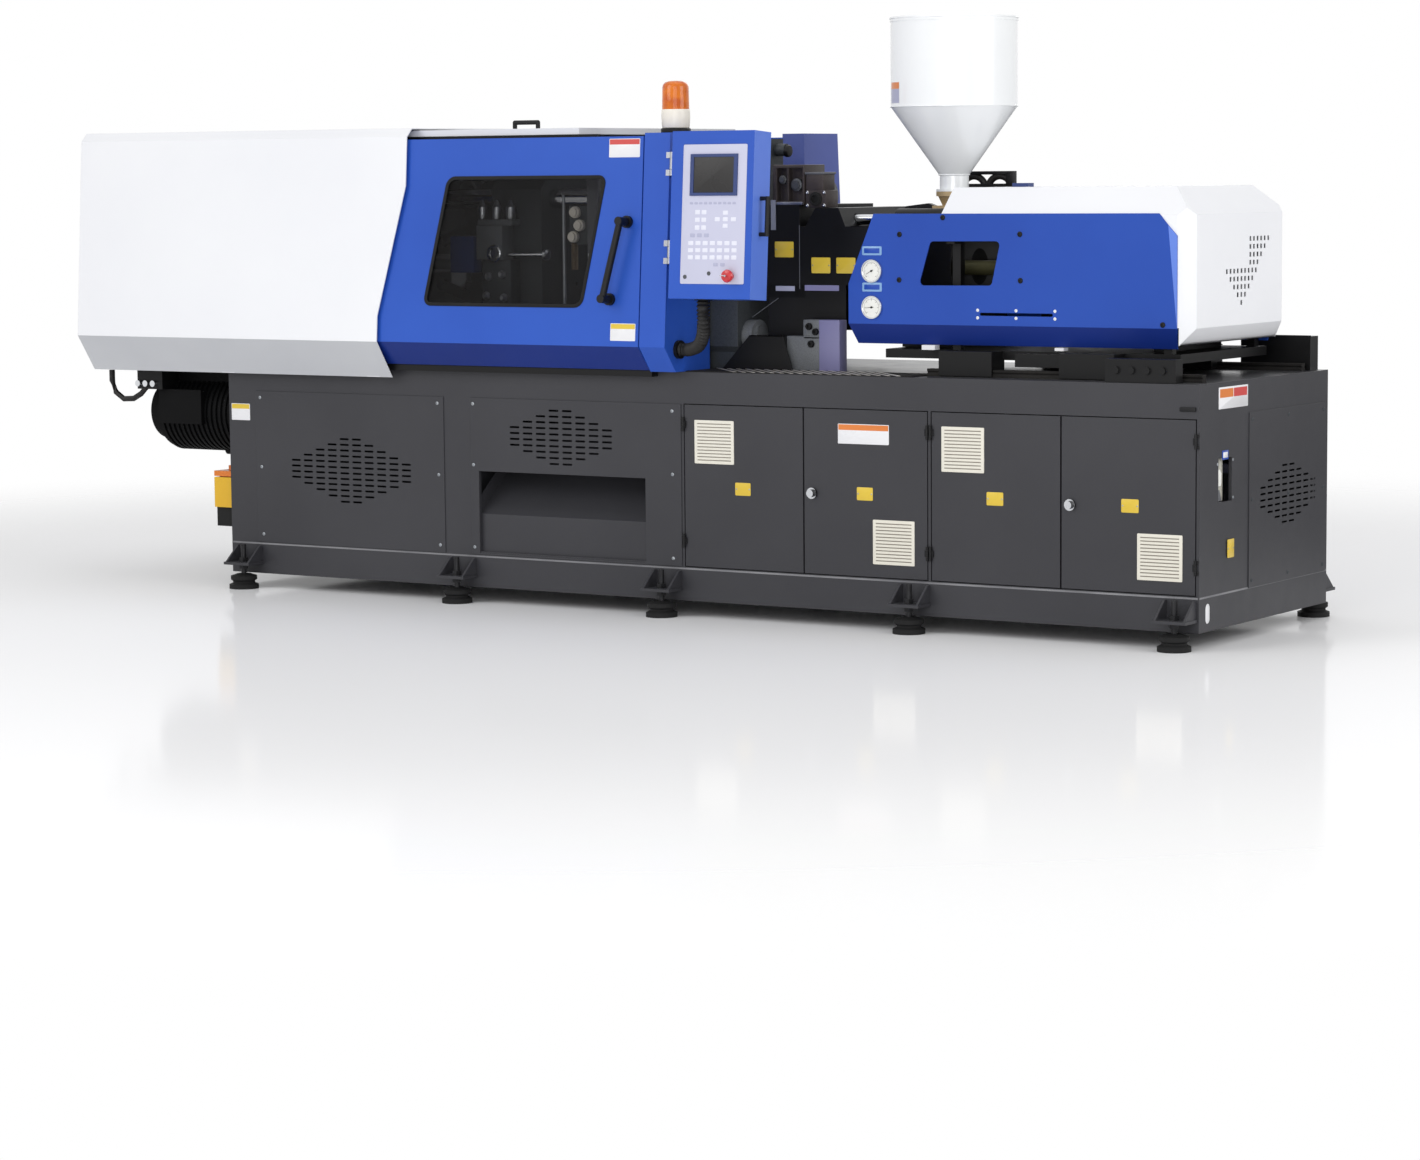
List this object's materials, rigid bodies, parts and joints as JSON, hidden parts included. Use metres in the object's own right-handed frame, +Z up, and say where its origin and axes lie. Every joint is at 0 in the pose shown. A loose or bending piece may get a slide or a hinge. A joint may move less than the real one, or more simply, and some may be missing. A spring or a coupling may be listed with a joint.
{
  "type": "injection moulding machine",
  "caption": "Horizontal toggle-clamp plastics injection moulding machine with sliding guards, hopper, control box and vented base on levelling feet.",
  "frame": {"origin": "on the floor, under the middle of the machine's bounding box", "axes": "+X from the clamp end to the injection end, +Z up, the operator stands at -Y"},
  "size_m": [4.635, 1.4122, 2.056],
  "materials": {
    "graphite_paint": "fine textured",
    "white_paint": "semi-gloss",
    "blue_paint": "semi-gloss",
    "black_paint": "satin",
    "galvanised": "satin",
    "bright_steel": "polished",
    "cast_iron": "machined and painted",
    "valve_iron": "painted",
    "smoked_glass": "gloss",
    "black_plastic": "matte",
    "red_plastic": "gloss",
    "yellow_plastic": "gloss",
    "amber_plastic": "gloss",
    "foot_rubber": "matte",
    "tan_cast": "cast"
  },
  "bodies": {
    "machine": {"base_frame": "graphite_paint", "levelling_feet": "foot_rubber", "vent_panel": "graphite_paint", "chute_panel": "graphite_paint", "drop_chute": "galvanised", "end_panel": "graphite_paint", "rear_panels": "graphite_paint", "electrical_plate": "galvanised", "pump_unit": "black_paint", "lubrication_unit": "yellow_plastic", "clamp_cover": "white_paint", "guard_frame": "graphite_paint", "front_column": "blue_paint", "rear_column": "blue_paint", "fixed_platen": "cast_iron", "tie_bars": "bright_steel", "nozzle_guard": "black_paint", "valve_block": "valve_iron", "carriage_guides": "bright_steel", "beacon": "amber_plastic", "panel_conduit": "black_plastic", "deck_boxes": "black_paint"},
    "front_door": {"front_door": "blue_paint", "front_window": "smoked_glass", "front_handle": "black_plastic"},
    "rear_door": {"rear_door": "blue_paint", "rear_window": "smoked_glass"},
    "roof_guard": {"roof_guard": "white_paint"},
    "tail": {"tail_platen": "cast_iron", "clamp_cylinder": "valve_iron"},
    "crosshead": {"crosshead": "cast_iron"},
    "rear_link_upper": {"rear_link_upper": "cast_iron"},
    "rear_link_lower": {"rear_link_lower": "cast_iron"},
    "front_link_upper": {"front_link_upper": "cast_iron"},
    "front_link_lower": {"front_link_lower": "cast_iron"},
    "cross_link_upper": {"cross_link_upper": "cast_iron"},
    "cross_link_lower": {"cross_link_lower": "cast_iron"},
    "moving_platen": {"moving_platen": "cast_iron"},
    "ejector": {"ejector": "bright_steel"},
    "carriage": {"carriage_base": "black_paint", "barrel": "bright_steel", "injection_housing": "black_paint", "side_panels": "blue_paint", "injection_shroud": "white_paint", "pressure_gauges": "bright_steel", "hopper": "white_paint", "hopper_base": "tan_cast"},
    "hopper_lid": {"hopper_lid": "white_paint"},
    "hopper_gate": {"hopper_gate": "black_plastic"},
    "injection_ram": {"injection_ram": "valve_iron"},
    "screw": {"screw": "bright_steel"},
    "cabinet_door_1": {"cabinet_door_1": "graphite_paint"},
    "cabinet_door_2": {"cabinet_door_2": "graphite_paint"},
    "cabinet_door_3": {"cabinet_door_3": "graphite_paint"},
    "cabinet_door_4": {"cabinet_door_4": "graphite_paint"},
    "lock_knob_2": {"lock_knob_2": "bright_steel"},
    "lock_knob_4": {"lock_knob_4": "bright_steel"},
    "panel_box": {"panel_box": "blue_paint"},
    "estop": {"estop": "red_plastic"},
    "estop_key": {"estop_key": "bright_steel"}
  },
  "joints": [
    {"name": "front_door_slide", "type": "slide", "parent": "machine", "child": "front_door", "axis": [-1, 0, 0], "range_m": [0, 0.9]},
    {"name": "rear_door_slide", "type": "slide", "parent": "machine", "child": "rear_door", "axis": [-1, 0, 0], "range_m": [0, 0.9]},
    {"name": "roof_guard_slide", "type": "slide", "parent": "machine", "child": "roof_guard", "axis": [-1, 0, 0], "range_m": [0, 0.38]},
    {"name": "tail_adjust", "type": "slide", "parent": "machine", "child": "tail", "axis": [1, 0, 0], "range_m": [-0.13, 0.14]},
    {"name": "platen_close", "type": "slide", "parent": "tail", "child": "moving_platen", "axis": [1, 0, 0], "range_m": [0, 0.36]},
    {"name": "crosshead_slide", "type": "slide", "parent": "tail", "child": "crosshead", "axis": [1, 0, 0], "range_m": [0, 0.1683]},
    {"name": "rear_link_upper_turn", "type": "hinge", "parent": "tail", "child": "rear_link_upper", "pos_m": [-0.8105, 0.03848, 1.475], "axis": [0, -1, 0], "range_deg": [0, 77.49]},
    {"name": "front_link_upper_turn", "type": "hinge", "parent": "rear_link_upper", "child": "front_link_upper", "pos_m": [-0.7605, 0.03848, 1.2505], "axis": [0, 1, 0], "range_deg": [0, 154.99]},
    {"name": "cross_link_upper_turn", "type": "hinge", "parent": "rear_link_upper", "child": "cross_link_upper", "pos_m": [-0.78659, 0.03848, 1.36763], "axis": [0, 1, 0], "range_deg": [0, 44.13]},
    {"name": "rear_link_lower_turn", "type": "hinge", "parent": "tail", "child": "rear_link_lower", "pos_m": [-0.8105, 0.03848, 0.935], "axis": [0, 1, 0], "range_deg": [0, 77.49]},
    {"name": "front_link_lower_turn", "type": "hinge", "parent": "rear_link_lower", "child": "front_link_lower", "pos_m": [-0.7605, 0.03848, 1.1595], "axis": [0, -1, 0], "range_deg": [0, 154.99]},
    {"name": "cross_link_lower_turn", "type": "hinge", "parent": "rear_link_lower", "child": "cross_link_lower", "pos_m": [-0.78659, 0.03848, 1.04237], "axis": [0, -1, 0], "range_deg": [0, 44.13]},
    {"name": "ejector_slide", "type": "slide", "parent": "moving_platen", "child": "ejector", "axis": [1, 0, 0], "range_m": [0, 0.1]},
    {"name": "carriage_slide", "type": "slide", "parent": "machine", "child": "carriage", "axis": [1, 0, 0], "range_m": [0, 0.25]},
    {"name": "injection_slide", "type": "slide", "parent": "carriage", "child": "injection_ram", "axis": [1, 0, 0], "range_m": [0, 0.19]},
    {"name": "screw_turn", "type": "hinge", "parent": "injection_ram", "child": "screw", "pos_m": [1.0145, 0.03848, 1.205], "axis": [1, 0, 0], "continuous": true},
    {"name": "hopper_lid_lift", "type": "slide", "parent": "carriage", "child": "hopper_lid", "axis": [0, 0, 1], "range_m": [0, 0.2]},
    {"name": "hopper_gate_slide", "type": "slide", "parent": "carriage", "child": "hopper_gate", "axis": [-1, 0, 0], "range_m": [0, 0.064]},
    {"name": "cabinet_door_1_swing", "type": "hinge", "parent": "machine", "child": "cabinet_door_1", "pos_m": [0.3555, -0.46752, 0.45], "axis": [0, 0, -1], "range_deg": [0, 110]},
    {"name": "cabinet_door_2_swing", "type": "hinge", "parent": "machine", "child": "cabinet_door_2", "pos_m": [1.3235, -0.46752, 0.45], "axis": [0, 0, 1], "range_deg": [0, 90]},
    {"name": "cabinet_door_3_swing", "type": "hinge", "parent": "machine", "child": "cabinet_door_3", "pos_m": [1.3355, -0.46752, 0.45], "axis": [0, 0, -1], "range_deg": [0, 90]},
    {"name": "cabinet_door_4_swing", "type": "hinge", "parent": "machine", "child": "cabinet_door_4", "pos_m": [2.3035, -0.46752, 0.45], "axis": [0, 0, 1], "range_deg": [0, 110]},
    {"name": "lock_knob_2_turn", "type": "hinge", "parent": "cabinet_door_2", "child": "lock_knob_2", "pos_m": [0.8745, -0.46152, 0.45], "axis": [0, 1, 0], "range_deg": [0, 90]},
    {"name": "lock_knob_4_turn", "type": "hinge", "parent": "cabinet_door_4", "child": "lock_knob_4", "pos_m": [1.8545, -0.46152, 0.45], "axis": [0, 1, 0], "range_deg": [0, 90]},
    {"name": "panel_swing", "type": "hinge", "parent": "machine", "child": "panel_box", "pos_m": [0.3765, -0.56093, 1.40344], "axis": [0, -0.0692, -0.9976], "range_deg": [0, 90]},
    {"name": "estop_push", "type": "slide", "parent": "panel_box", "child": "estop", "axis": [0, 0.9976, -0.0692], "range_m": [0, 0.006], "stiffness_N_per_m": 1500},
    {"name": "estop_key_turn", "type": "hinge", "parent": "estop", "child": "estop_key", "pos_m": [0.6725, -0.64619, 1.18582], "axis": [0, 0.9976, -0.0692], "range_deg": [0, 45]}
  ],
  "couplings": [
    {"joint": "crosshead_slide", "follows": "platen_close", "ratio": 0.46608},
    {"joint": "rear_link_upper_turn", "follows": "platen_close", "rad_per_m": 3.7546},
    {"joint": "front_link_upper_turn", "follows": "platen_close", "rad_per_m": 7.5092},
    {"joint": "cross_link_upper_turn", "follows": "platen_close", "rad_per_m": 2.1371},
    {"joint": "rear_link_lower_turn", "follows": "platen_close", "rad_per_m": 3.7546},
    {"joint": "front_link_lower_turn", "follows": "platen_close", "rad_per_m": 7.5092},
    {"joint": "cross_link_lower_turn", "follows": "platen_close", "rad_per_m": 2.1371}
  ]
}
